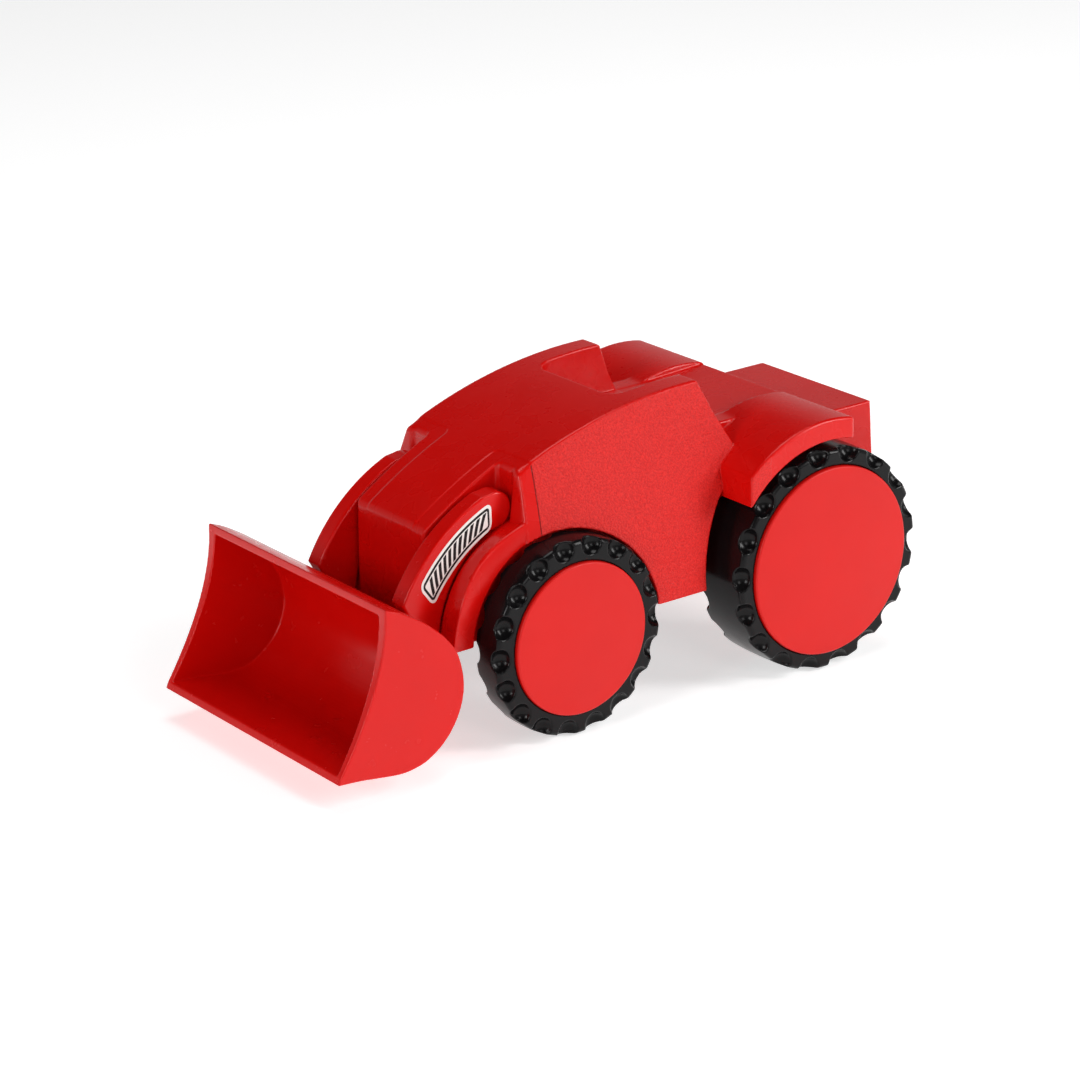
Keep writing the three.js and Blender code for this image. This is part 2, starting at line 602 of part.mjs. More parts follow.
function bucket() {
  const frontEdge = Array.from({ length: 9 }, (_, i) => {
    const z = 11 + (59 - 11) * i / 8;
    return [sideWallFront(z), z];
  });
  const outline = [...SCOOP_BACK, SCOOP_LIP, ...frontEdge].reverse();
  const outer = sidePrism(outline, -BUCKET_HALF_WIDTH, BUCKET_HALF_WIDTH);

  // The room inside: the back outline moved in by the wall, open at the front.
  const back = SCOOP_BACK.map(([x, z], i) => {
    const [ax, az] = SCOOP_BACK[Math.max(0, i - 1)];
    const [bx, bz] = SCOOP_BACK[Math.min(SCOOP_BACK.length - 1, i + 1)];
    const along = Math.hypot(bx - ax, bz - az);
    return [x - (bz - az) / along * BUCKET_WALL, z + (bx - ax) / along * BUCKET_WALL];
  });
  const room = [[172, 59.6], ...back, [187.4, 10.4], [200, 12], [200, 70], [174, 70]].reverse();
  const inside = sidePrism(room, -1, 1, (position) => {
    for (let i = 0; i < position.count; i += 1) {
      position.setY(i, Math.sign(position.getY(i)) * scoopHalfRoom(position.getZ(i)));
    }
  });

  // Hinge barrel on the back, between the arms.
  const lug = sidePrism([
    ...arc(BUCKET_PIVOT.x, BUCKET_PIVOT.z, HINGE_RADIUS, 90, 270, 10),
    [142, BUCKET_PIVOT.z - HINGE_RADIUS],
    [142, BUCKET_PIVOT.z + HINGE_RADIUS],
  ], -HINGE_HALF_WIDTH, HINGE_HALF_WIDTH);
  return outer.subtract(inside).add(lug)
    .subtract(bar(BUCKET_PIVOT.x, BUCKET_PIVOT.z, boreRadius(BUCKET_ROD_RADIUS), -20, 20));
}
addPart('bucket', bucket(), redPlastic);

// ---------------------------------------------------------------- the whole loader
parts.position.x = -(SCOOP_LIP[0] + BOX_REAR_BOTTOM_X) / 2;
parts.position.z = FLOOR_DROP;
const loader = new THREE.Group();
loader.add(parts);

export default loader;
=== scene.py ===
"""Looks of the toy front loader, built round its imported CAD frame.

The shell, the bucket, the arms and the tyres are each described by a field: a function of x, y
and z that is negative inside the piece and grows by about one for each millimetre outside it.
Fields are joined and cut with rounded edges, as a mould has them, and each is then meshed and its
points are set on the surface. The hubs are turned profiles, and the labels are thin plates.
All of these use millimetres, +X forward from the rear axle, +Y left, +Z up from a datum just above
the floor, as the CAD's own layout does.
"""
import json
import math

import bpy
import numpy as np
from mathutils import Matrix, Vector


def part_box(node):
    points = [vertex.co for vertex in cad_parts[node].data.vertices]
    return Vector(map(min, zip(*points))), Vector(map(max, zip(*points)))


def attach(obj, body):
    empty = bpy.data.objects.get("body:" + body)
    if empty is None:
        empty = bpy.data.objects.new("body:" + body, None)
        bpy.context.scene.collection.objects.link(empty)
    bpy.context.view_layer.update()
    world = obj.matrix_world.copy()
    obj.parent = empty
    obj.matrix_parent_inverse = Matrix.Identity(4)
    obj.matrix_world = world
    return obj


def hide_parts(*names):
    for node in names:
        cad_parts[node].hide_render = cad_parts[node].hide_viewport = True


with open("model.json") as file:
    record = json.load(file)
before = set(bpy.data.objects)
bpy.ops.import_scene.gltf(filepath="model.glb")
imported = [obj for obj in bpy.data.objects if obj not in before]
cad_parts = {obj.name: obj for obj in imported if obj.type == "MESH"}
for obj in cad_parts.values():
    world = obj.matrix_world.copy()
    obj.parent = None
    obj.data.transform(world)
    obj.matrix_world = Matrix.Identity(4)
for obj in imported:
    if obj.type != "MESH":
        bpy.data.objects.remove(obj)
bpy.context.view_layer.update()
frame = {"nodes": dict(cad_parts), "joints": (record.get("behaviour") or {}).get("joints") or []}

MM = 0.001
JOINTS = {joint["name"]: joint for joint in frame["joints"]}
DATUM_Z = 0.00085                       # metres above the floor
ORIGIN = np.array([JOINTS["rear_axle_spin"]["pos_m"][0], 0, DATUM_Z])   # in the row frame


def to_field(metres):
    return (np.array(metres, float) - ORIGIN) / MM


def to_metres(millimetres):
    return np.array(millimetres, float) * MM + ORIGIN


def pivot(joint):
    """A joint's place in side view, in the fields' millimetres."""
    x, _, z = to_field(JOINTS[joint]["pos_m"])
    return x, z


def cad_box(node):
    """Lowest and highest corner of a CAD node, in the fields' millimetres."""
    return [to_field(corner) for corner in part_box(node)]


# ------------------------------------------------------------------ dimensions, millimetres
FRONT_X, FRONT_Z = pivot("front_axle_spin")
REAR_X, REAR_Z = pivot("rear_axle_spin")
ARM_X, ARM_Z = pivot("arm_lift")
TILT_X, TILT_Z = pivot("bucket_tilt")

SHELL_LOW, SHELL_HIGH = cad_box("body_shell")
BUCKET_LOW, BUCKET_HIGH = cad_box("bucket")
WALL = 2.5

ROOF_X, ROOF_Z, ROOF_R = 35.9, -71.5, 169.75            # the roof's and hood's arc in side view
ROOF_HALF = 29.66
FLARE_SLOPE, FLARE_CURVE = 0.4526, -0.00326             # how the sides widen below the roof
SHOULDER_X = 104.2
FLANK_X, FLANK_Z, FLANK_LEAN = 104.9, 81.0, 0.135
HOOD_FRONT, HOOD_FRONT_Z, HOOD_FRONT_LEAN = 132.8, 67.8, 0.0226
HOOD_HALF = 18.5
CROWN_START, CROWN_BACK = 12.0, 99.5                    # where the hood's raised ridge ends
CROWN_DROP, CROWN_FADE = 0.22, 0.8
BODY_BOTTOM = 33.5
SPINE_HALF = 27.8
WELL_HALF = 33.0
FRONT_ARCH, REAR_ARCH = 33.06, 42.46
FENDER_IN, FENDER_OUT = 20.7, SHELL_HIGH[1]
FENDER_R, FENDER_LIP = 47.5, 40.5
FENDER_FRONT, FENDER_BACK = 32.2, -11.1
FENDER_SKIN = 2.2
FENDER_FOOT = 61.2
BOX_TOP = 74.9
FLOOR_Z = 81.4
DECK_FRONT_X = 17.7
DECK_REAR_X, DECK_REAR_Z = -9.7, 82.8
COCKPIT_FRONT = 60.0
COCKPIT_CORNER = 6.0
POCKET_R, POCKET_OUT = 37.4, 27.0
GUARD_R, GUARD_FACE, GUARD_BACK = 37.6, 36.9, 103.5
GUARD_SWELL, GUARD_SWELL_SPAN = 1.6, (108, 127)         # a thicker crest towards the front
GUARD_RISE = 0.17                                       # crest height gained per mm outwards
HOLLOW_HALF = 46
AXLE_SLOT_R, AXLE_SLOT_REACH = 2.8, 40
ROD_BORE_R, ROD_BORE_REACH = 1.58, 19

ARM_IN, ARM_OUT = 19.8, 26.56
ARM_BACK_X, ARM_BACK_Z, ARM_BACK_R = 93.4, 21.1, 60.2
ARM_BELLY_R = 38.7
ARM_CAP_R, ARM_FOOT_R = 5.9, 3.4
ARM_BORES = ((ARM_X, ARM_Z, 1.55), (TILT_X, TILT_Z, 1.3))    # place and radius of each
ARM_BORE_DEPTH = 5

BUCKET_HALF = BUCKET_HIGH[1]
BUCKET_WALL = 2.6
SIDE_WALL, SIDE_WALL_GAIN = 2.2, 1.6                    # at the floor, and more at the top
SIDE_WALL_FOOT, SIDE_WALL_RISE = 8, 52
LUG_R, LUG_HALF, LUG_BACK = 3.2, 19.3, 142.5
LUG_BORE_R = 1.32


# ------------------------------------------------------------------ fields
def both(a, b, radius):
    """Inside a and b, with the edge between them rounded."""
    outside = np.hypot(np.maximum(radius + a, 0), np.maximum(radius + b, 0))
    return np.minimum(-radius, np.maximum(a, b)) + outside


def either(a, b, radius):
    """Inside a or b, with the corner between them filled in."""
    return -both(-a, -b, radius)


def cut(a, b, radius):
    """Inside a and outside b, with the edge between them rounded."""
    return both(a, -b, radius)


def slab(v, low, high):
    """Between two planes across one axis."""
    return np.maximum(low - v, v - high)


def ease(v, low, high):
    """A smooth step from 0 at low to 1 at high."""
    t = np.clip((v - low) / (high - low), 0, 1)
    return t * t * (3 - 2 * t)


def arc(x, z, radius, start, end, steps):
    """Points along an arc, from one angle in degrees to another."""
    angles = np.radians(np.linspace(start, end, steps + 1))
    return [(x + radius * math.cos(a), z + radius * math.sin(a)) for a in angles]


def outline_field(points):
    """Exact distance to a closed outline in side view, negative inside it."""
    ends = list(zip(points, points[1:] + points[:1]))

    def field(x, z):
        x, z = np.broadcast_arrays(np.asarray(x, float), np.asarray(z, float))
        nearest = np.full(x.shape, np.inf)
        inside = np.zeros(x.shape, bool)
        for (ax, az), (bx, bz) in ends:
            ex, ez = bx - ax, bz - az
            wx, wz = x - ax, z - az
            t = np.clip((wx * ex + wz * ez) / (ex * ex + ez * ez), 0, 1)
            nearest = np.minimum(nearest, (wx - ex * t) ** 2 + (wz - ez * t) ** 2)
            if ez:
                inside ^= ((az > z) != (bz > z)) & (wx < ex * wz / ez)
        distance = np.sqrt(nearest)
        return np.where(inside, -distance, distance)

    return field


def smooth_line(points, per_span=6):
    """A Catmull-Rom curve through the points."""
    p = np.array([points[0], *points, points[-1]], float)
    line = []
    for i in range(1, len(p) - 2):
        for t in np.arange(per_span) / per_span:
            a, b, c, d = p[i - 1:i + 3]
            line.append(tuple(0.5 * (2 * b + (c - a) * t + (2 * a - 5 * b + 4 * c - d) * t ** 2
                                     + (3 * b - a - 3 * c + d) * t ** 3)))
    return [*line, tuple(p[-2])]


def net(field, low, high, step):
    """Points and quads of the surface where the field is zero, from a grid of samples."""
    axes = [np.arange(low[i] - 1.5 * step, high[i] + 2 * step, step) for i in range(3)]
    x, y, z = np.meshgrid(*axes, indexing="ij", sparse=True)
    value = np.broadcast_to(field(x, y, z), [len(a) for a in axes]).astype(np.float32)
    inside = value < 0
    shape = np.array(value.shape)
    strides = np.array([shape[1] * shape[2], shape[2], 1])
    cells, points, quads, flips = [], [], [], []
    for axis in range(3):
        near = [slice(None)] * 3
        far = [slice(None)] * 3
        near[axis], far[axis] = slice(None, -1), slice(1, None)
        index = np.argwhere(inside[tuple(near)] != inside[tuple(far)])
        other = index.copy()
        other[:, axis] += 1
        a = value[tuple(index.T)]
        b = value[tuple(other.T)]
        crossing = index.astype(float)
        crossing[:, axis] += a / (a - b)
        u, v = [(1, 2), (2, 0), (0, 1)][axis]
        ring = []
        for du, dv in ((0, 0), (-1, 0), (-1, -1), (0, -1)):
            cell = index.copy()
            cell[:, u] += du
            cell[:, v] += dv
            ring.append(cell @ strides)
            cells.append(ring[-1])
            points.append(crossing)
        quads.append(np.stack(ring, axis=1))
        flips.append(a > 0)
    names, place = np.unique(np.concatenate(cells), return_inverse=True)
    place = place.reshape(-1)
    where = np.concatenate(points)
    count = np.bincount(place)
    verts = np.stack([np.bincount(place, where[:, i]) / count for i in range(3)], axis=1)
    start = np.array([a[0] for a in axes])
    verts = start + verts * step
    quads = np.searchsorted(names, np.concatenate(quads))
    flips = np.concatenate(flips)
    quads[flips] = quads[flips][:, ::-1]
    return verts, quads


def slope(field, p, reach=0.02):
    """The field and its gradient at each point."""
    columns = []
    for axis in range(3):
        step = np.zeros(3)
        step[axis] = reach
        ahead = field(*(p + step).T)
        behind = field(*(p - step).T)
        columns.append((ahead - behind) / (2 * reach))
    return field(*p.T), np.stack(columns, axis=1)


def settle(field, verts, step, rounds=3):
    """Moves the points along the gradient on to the surface."""
    for _ in range(rounds):
        value, gradient = slope(field, verts)
        length = np.maximum((gradient ** 2).sum(axis=1), 0.05)
        move = gradient * (value / length)[:, None]
        size = np.linalg.norm(move, axis=1, keepdims=True)
        verts = verts - move * np.minimum(1, 0.5 * step / np.maximum(size, 1e-9))
    return verts


def mesh_object(name, verts, faces, smooth=True):
    """A Blender object from points in the fields' millimetres."""
    mesh = bpy.data.meshes.new(name)
    mesh.from_pydata(to_metres(verts).tolist(), [], faces)
    obj = bpy.data.objects.new(name, mesh)
    bpy.context.scene.collection.objects.link(obj)
    if smooth:
        mesh.polygons.foreach_set("use_smooth", np.ones(len(mesh.polygons), bool))
    return obj


MOST_TRIANGLES = 190_000


def thin(obj, most):
    """Collapses the flattest edges until the piece has at most so many triangles."""
    triangles = 2 * len(obj.data.polygons)
    if triangles <= most:
        return
    modifier = obj.modifiers.new("thin", "DECIMATE")
    modifier.ratio = most / triangles
    graph = bpy.context.evaluated_depsgraph_get()
    mesh = bpy.data.meshes.new_from_object(obj.evaluated_get(graph))
    obj.modifiers.remove(modifier)
    old = obj.data
    obj.data = mesh
    bpy.data.meshes.remove(old)


def field_normals(obj, field):
    """Shades each point by the field's own gradient there."""
    mesh = obj.data
    at = np.zeros(3 * len(mesh.vertices))
    mesh.vertices.foreach_get("co", at)
    _, gradient = slope(field, to_field(at.reshape(-1, 3)), 0.05)
    gradient /= np.maximum(np.linalg.norm(gradient, axis=1, keepdims=True), 1e-9)
    mesh.polygons.foreach_set("use_smooth", np.ones(len(mesh.polygons), bool))
    mesh.normals_split_custom_set_from_vertices(gradient.tolist())


def moulded(name, field, low, high, step, most=MOST_TRIANGLES, mirror=False):
    """One moulded piece, meshed from its field; mirror makes the right-hand copy."""
    size = step * 1
    verts, quads = net(field, low, high, size)
    verts = settle(field, verts, size)
    shown_field = field
    if mirror:
        verts = verts * (1, -1, 1)
        quads = quads[:, ::-1]

        def shown_field(x, y, z):
            return field(x, -y, z)

    obj = mesh_object(name, verts, quads.tolist())
    thin(obj, most)
    field_normals(obj, shown_field)
    return obj


# ------------------------------------------------------------------ body shell
def roof_distance(x, z):
    return np.hypot(x - ROOF_X, z - ROOF_Z) - ROOF_R


def roof_height(x):
    return ROOF_Z + np.sqrt(np.maximum(ROOF_R ** 2 - (x - ROOF_X) ** 2, 0))


def side_distance(x, y, z):
    """Distance to the flared side."""
    depth = np.maximum(roof_height(x) - z, -4)
    tilt = FLARE_SLOPE + 2 * FLARE_CURVE * depth
    half = ROOF_HALF + FLARE_SLOPE * depth + FLARE_CURVE * depth ** 2
    return (np.abs(y) - half) / np.sqrt(1 + tilt ** 2)


cab_outline = outline_field([
    *arc(REAR_X, REAR_Z, REAR_ARCH, -30, 40.5, 24),
    (FENDER_FRONT, 71), (24.9, 77.4), (27.2, 81.9), (30.0, 88.0), (33.3, 98.0), (34.6, 108.0),
    (150.0, 108.0), (150.0, 10.0), (40.0, 10.0),
])

spine_outline = outline_field([
    (-18, BODY_BOTTOM), (-18, 20), (75, 20), (75, FLOOR_Z), (DECK_FRONT_X, FLOOR_Z),
    (DECK_REAR_X, DECK_REAR_Z), (FENDER_BACK, DECK_REAR_Z - 1.2), (FENDER_BACK, BOX_TOP),
    (-42.1, BOX_TOP), (SHELL_LOW[0], 45), (-30, 45),
])


def upper_body(x, y, z):
    """Hood and flared cab, without the cockpit."""
    side_y = np.abs(y)
    past_ridge = np.maximum(either(side_y - CROWN_START, x - CROWN_BACK, 3.0), 0)
    roof = roof_distance(x, z) + CROWN_DROP * ease(past_ridge, 0, CROWN_FADE)
    flank = both(x - FLANK_X - FLANK_LEAN * (FLANK_Z - z), POCKET_OUT - side_y, 1.2)
    flared = both(side_distance(x, y, z), either(x - SHOULDER_X, flank, 1.5), 1.0)
    plan = either(flared, side_y - HOOD_HALF, 1.6)
    shoulder = ease(side_y, HOOD_HALF, HOOD_HALF + 1.5) * ease(x, 98, 103)
    block = both(roof, plan, 0.6 + 0.9 * shoulder)
    block = both(block, x - HOOD_FRONT - HOOD_FRONT_LEAN * (HOOD_FRONT_Z - z), 1.5)
    return both(block, cab_outline(x, z), 0.7)


def guards(x, y, z):
    """Front mudguards: outer faces flush with the flared sides, and a lower ledge under the arms."""
    side_y = np.abs(y)
    rho = np.hypot(x - FRONT_X, z - FRONT_Z)
    swell = GUARD_SWELL * ease(x, *GUARD_SWELL_SPAN)
    crest = rho - GUARD_R - swell - GUARD_RISE * (side_y - POCKET_OUT)
    face = both(side_y - GUARD_FACE, side_distance(x, y, z), 1.5)
    ring = both(crest, face, 0.8)
    ring = both(ring, POCKET_OUT - side_y, 0.8)
    pocket = both(rho - POCKET_R, side_y - POCKET_OUT - 4, 0.5)
    return both(either(ring, pocket, 0.8), GUARD_BACK - x, 0.3)


def fenders(x, y, z):
    """Rear mudguards, flat at the front and open underneath."""
    side_y = np.abs(y)
    rho = np.hypot(x - REAR_X, z - REAR_Z)
    block = both(rho - FENDER_R, side_y - FENDER_OUT, 1.0)
    block = both(block, FENDER_IN - side_y, 0.6)
    block = both(block, FENDER_BACK - x, 1.6)
    block = both(block, x - FENDER_FRONT, 0.8)
    block = both(block, FENDER_FOOT - z, 0.5)
    lip = both(rho - FENDER_LIP, SPINE_HALF - side_y, 0.3)
    block = cut(block, lip, 0.5)
    across = slab(side_y, SPINE_HALF, FENDER_OUT - FENDER_SKIN)
    room = both(rho - FENDER_R + FENDER_SKIN, across, 0.5)
    room = both(room, slab(x, FENDER_BACK + FENDER_SKIN, FENDER_FRONT - FENDER_SKIN), 0.5)
    return cut(block, room, 0.4)


def cockpit(x, y, z):
    """The room cut out over the deck, which rises a little towards the rear."""
    plan = both(np.abs(y) - FENDER_IN, x - COCKPIT_FRONT, COCKPIT_CORNER)
    back = np.clip((DECK_FRONT_X - x) / (DECK_FRONT_X - DECK_REAR_X), 0, 1.2)
    deck = FLOOR_Z + (DECK_REAR_Z - FLOOR_Z) * back
    return both(plan, deck - z, 0.6)


def shell_outside(x, y, z):
    """The body before it is hollowed, and running down past its bottom edge."""
    side_y = np.abs(y)
    body = either(upper_body(x, y, z), guards(x, y, z), 0.15)
    well = both(np.hypot(x - FRONT_X, z - FRONT_Z) - FRONT_ARCH, WELL_HALF - side_y, 0.6)
    body = cut(body, well, 0.5)
    spine = both(side_y - SPINE_HALF, spine_outline(x, z), 0.7)
    body = either(body, either(spine, fenders(x, y, z), 0.3), 0.4)
    return cut(body, cockpit(x, y, z), 0.6)


def shell(x, y, z):
    """The hollow body, open underneath, with slots for the axles and a bore for the arms' rod."""
    side_y = np.abs(y)
    outside = shell_outside(x, y, z)
    hollow = both(outside + WALL, side_y - HOLLOW_HALF, 0.5)
    body = both(outside, BODY_BOTTOM - z, 0.5)
    body = cut(body, hollow, 0.3)
    for axle_x, axle_z in ((FRONT_X, FRONT_Z), (REAR_X, REAR_Z)):
        slot = np.maximum(np.abs(x - axle_x) - AXLE_SLOT_R, z - axle_z)
        notch = np.minimum(np.hypot(x - axle_x, z - axle_z) - AXLE_SLOT_R, slot)
        body = cut(body, np.maximum(notch, side_y - AXLE_SLOT_REACH), 0.3)
    rod_bore = np.hypot(x - ARM_X, z - ARM_Z) - ROD_BORE_R
    return cut(body, np.maximum(rod_bore, side_y - ROD_BORE_REACH), 0.2)


# ------------------------------------------------------------------ arms and bucket
arm_outline = outline_field([
    *arc(ARM_BACK_X, ARM_BACK_Z, ARM_BACK_R, 27.2, 68, 40),
    *arc(ARM_X, ARM_Z, ARM_CAP_R, 75, 250, 30),
    *arc(FRONT_X, FRONT_Z, ARM_BELLY_R, 60, 3, 40),
    *arc(TILT_X, TILT_Z, ARM_FOOT_R, 190, 360, 20),
    (140.4, 35.0), (141.6, 39.0), (144.4, 44.0),
])


def arm(x, y, z):
    """The left arm: a curved plate with a blind bore for each rod in its inner face."""
    plate = both(arm_outline(x, z), slab(y, ARM_IN, ARM_OUT), 0.9)
    for rod_x, rod_z, radius in ARM_BORES:
        bore = np.maximum(np.hypot(x - rod_x, z - rod_z) - radius, y - ARM_IN - ARM_BORE_DEPTH)
        plate = cut(plate, bore, 0.1)
    return plate


SCOOP_BACK = smooth_line([
    (168.6, 60), (163.2, 57.7), (156.1, 53.4), (152.2, 50.4), (148.6, 47.2), (145.6, 43.8),
    (143.4, 40.6), (142, 36.8), (141.1, 32.4), (140.9, 28.6), (141.5, 24.3), (142.9, 20.2),
    (145, 16.4), (147.9, 12.8), (151.6, 9.7), (156, 7.3), (160.6, 6.2), (165.4, 5.9),
    (172.7, 6.8), (180, 7.8), (187.9, 8.4),
], per_span=3)


def side_wall_front(z):
    """How far forward the scoop's side walls reach at each height."""
    return 194.4 - 0.7324 * z + 0.002844 * z ** 2 + 3.72e-5 * z ** 3


scoop_outline = outline_field([
    *SCOOP_BACK,
    *[(side_wall_front(z), z) for z in np.linspace(10.5, 59, 18)],
])
scoop_reach = outline_field([(260, 92), *SCOOP_BACK, (260, 14)])


def bucket(x, y, z):
    """The scoop, open at the front, with a hinge barrel along its back."""
    side_y = np.abs(y)
    outer = both(scoop_outline(x, z), side_y - BUCKET_HALF, 0.5)
    up = np.clip((z - SIDE_WALL_FOOT) / SIDE_WALL_RISE, 0, 1)
    half_room = BUCKET_HALF - SIDE_WALL - SIDE_WALL_GAIN * up
    room = both(scoop_reach(x, z) + BUCKET_WALL, side_y - half_room, 0.6)
    scoop = cut(outer, room, 0.35)
    from_hinge = np.hypot(x - TILT_X, z - TILT_Z)
    web = np.maximum(slab(x, TILT_X, LUG_BACK), slab(z, TILT_Z - LUG_R, TILT_Z + LUG_R))
    lug = both(np.minimum(from_hinge - LUG_R, web), side_y - LUG_HALF, 0.3)
    scoop = either(scoop, lug, 0.6)
    return cut(scoop, from_hinge - LUG_BORE_R, 0.1)


# ------------------------------------------------------------------ wheels
# hub: radius; ball: radius that cuts a dimple, its middle "inset" below the tread's radius and
# "out" beyond the tyre's face; phase: degrees that the ring of dimples is turned
WHEELS = {
    "front": {"x": FRONT_X, "z": FRONT_Z, "hub": 24.96,
              "ball": 3.8, "inset": 1.6, "out": 0.6, "phase": 0},
    "rear": {"x": REAR_X, "z": REAR_Z, "hub": 31.65,
             "ball": 4.2, "inset": 0.4, "out": 0.4, "phase": 3},
}
DIMPLES = 18
SEAT_GAP = 0.13
TREAD_CROWN, TYRE_EDGE = 0.3, 1.6
FACE_SET_BACK = 0.7                     # how far the tyre's face lies behind the CAD's
HUB_EDGE = 0.7
HUB_DEPTH, HUB_WALL, HUB_FACE = 11, 2.2, 2.4
HUB_FILLET = 1.0
BOSS_R, BOSS_BORE_R, BOSS_BORE_END = 5, 2.06, 3.8
HUB_TURNS = 160


def tyre_field(end):
    """A left tyre: a slightly crowned ring with round dimples along both shoulders."""
    wheel = WHEELS[end]
    low, high = cad_box(f"{end}_tyre_left")
    radius = wheel["z"] + DATUM_Z / MM
    face = high[1] - FACE_SET_BACK
    middle, half = (low[1] + face) / 2, (face - low[1]) / 2
    pitch = 2 * math.pi / DIMPLES

    def field(x, y, z):
        along, up = x - wheel["x"], z - wheel["z"]
        rho = np.hypot(along, up)
        tread = rho - radius + TREAD_CROWN * ((y - middle) / half) ** 2
        ring = both(tread, slab(y, low[1], face), TYRE_EDGE)
        ring = both(ring, wheel["hub"] + SEAT_GAP - rho, 0.4)
        angle = np.arctan2(up, along) - math.radians(wheel["phase"])
        angle = angle - pitch * np.round(angle / pitch)
        off = np.hypot(rho * np.cos(angle) - radius + wheel["inset"], rho * np.sin(angle))
        beside = half + wheel["out"] - np.abs(y - middle)
        return cut(ring, np.hypot(off, beside) - wheel["ball"], 0.5)

    return field, low, high


def hub(name, end, mirror):
    """A turned disc: flat face with a rounded rim, rim wall and central boss."""
    low, high = cad_box(f"{end}_hub_left")
    hub_radius, axle_x, axle_z = WHEELS[end]["hub"], WHEELS[end]["x"], WHEELS[end]["z"]
    face, boss_end = high[1], low[1]
    skin, bore_end = face - HUB_FACE, face - BOSS_BORE_END
    wall = hub_radius - HUB_WALL
    rim = [
        *arc(hub_radius - HUB_EDGE, face - HUB_EDGE, HUB_EDGE, 90, 0, 6),
        (hub_radius, face - HUB_DEPTH), (wall, face - HUB_DEPTH),
        *arc(wall - HUB_FILLET, skin - HUB_FILLET, HUB_FILLET, 0, 90, 4),
        (BOSS_R + HUB_FILLET, skin), (BOSS_R, skin - HUB_FILLET), (BOSS_R, boss_end),
        (BOSS_BORE_R, boss_end), (BOSS_BORE_R, bore_end),
    ]
    verts = [(axle_x, face, axle_z), (axle_x, bore_end, axle_z)]
    for k in range(HUB_TURNS):
        a = 2 * math.pi * k / HUB_TURNS
        verts += [(axle_x + r * math.cos(a), y, axle_z + r * math.sin(a)) for r, y in rim]
    faces = []
    n = len(rim)
    for k in range(HUB_TURNS):
        here, after = 2 + n * k, 2 + n * ((k + 1) % HUB_TURNS)
        faces.append((0, after, here))
        faces += [(here + i, after + i, after + i + 1, here + i + 1) for i in range(n - 1)]
        faces.append((1, here + n - 1, after + n - 1))
    verts = np.array(verts)
    if mirror:
        verts = verts * (1, -1, 1)
        faces = [f[::-1] for f in faces]
    obj = mesh_object(name, verts, faces)
    obj.data.set_sharp_from_angle(angle=math.radians(35))
    return obj


# ------------------------------------------------------------------ materials
def linear(r, g, b):
    """An sRGB colour, 0 to 255, as linear numbers."""
    out = []
    for v in (r, g, b):
        c = v / 255
        out.append(c / 12.92 if c <= 0.04045 else ((c + 0.055) / 1.055) ** 2.4)
    return (*out, 1)


class Nodes:
    """A small helper that adds and links a material's nodes."""

    def __init__(self, name):
        self.material = bpy.data.materials.new(name)
        self.material.use_nodes = True
        self.tree = self.material.node_tree
        self.shader = self.tree.nodes["Principled BSDF"]
        self.coords = self.add("ShaderNodeTexCoord").outputs["Object"]

    def add(self, kind, **settings):
        node = self.tree.nodes.new(kind)
        for key, value in settings.items():
            setattr(node, key, value)
        return node

    def link(self, a, b):
        self.tree.links.new(a, b)

    def math(self, kind, a, b=None, c=None):
        node = self.add("ShaderNodeMath", operation=kind)
        for socket, value in zip(node.inputs, (a, b, c)):
            if value is None:
                continue
            if isinstance(value, (int, float)):
                socket.default_value = value
            else:
                self.link(value, socket)
        return node.outputs[0]

    def noise(self, scale, detail=3, rough=0.5):
        node = self.add("ShaderNodeTexNoise")
        node.inputs["Scale"].default_value = scale
        node.inputs["Detail"].default_value = detail
        node.inputs["Roughness"].default_value = rough
        self.link(self.coords, node.inputs["Vector"])
        return node.outputs["Fac"]

    def ramp(self, value, low, high, out_low, out_high):
        node = self.add("ShaderNodeMapRange")
        for socket, number in zip(list(node.inputs)[1:5], (low, high, out_low, out_high)):
            socket.default_value = number
        self.link(value, node.inputs["Value"])
        return node.outputs["Result"]

    def mix(self, factor, a, b):
        node = self.add("ShaderNodeMix", data_type="RGBA")
        for socket, value in ((node.inputs[0], factor), (node.inputs[6], a), (node.inputs[7], b)):
            if isinstance(value, (int, float, tuple)):
                socket.default_value = value
            else:
                self.link(value, socket)
        return node.outputs[2]

    def bump(self, height, strength, distance):
        node = self.add("ShaderNodeBump")
        node.inputs["Strength"].default_value = strength
        node.inputs["Distance"].default_value = distance
        self.link(height, node.inputs["Height"])
        self.link(node.outputs["Normal"], self.shader.inputs["Normal"])


PLASTIC_SHEEN, TYRE_SHEEN = 0.28, 0.17
FLOW_SCALE, PEEL_SCALE = 38, 500


def plastic(name, colour, variation, roughness, sheen=PLASTIC_SHEEN):
    """Moulded plastic: faint colour flow, uneven gloss and a slight orange-peel surface."""
    m = Nodes(name)
    flow = m.noise(FLOW_SCALE, 2)
    m.link(m.mix(m.ramp(flow, 0.3, 0.7, 0, 1), colour, variation), m.shader.inputs["Base Color"])
    m.link(m.ramp(m.noise(160, 3), 0.3, 0.7, *roughness), m.shader.inputs["Roughness"])
    m.shader.inputs["Specular IOR Level"].default_value = sheen
    m.bump(m.noise(PEEL_SCALE, 1), 0.02, 0.0002)
    return m.material


RED = linear(210, 9, 5)
RED_DEEP = linear(205, 8, 4)
SPARK_LOW, SPARK_HIGH = linear(194, 7, 4), linear(222, 30, 24)
# painted shade: the darker red drawn along the parting line's groove
SEAM_PAINTED_SHADE = linear(140, 5, 4)
SPARK_ROUGHNESS = 0.46

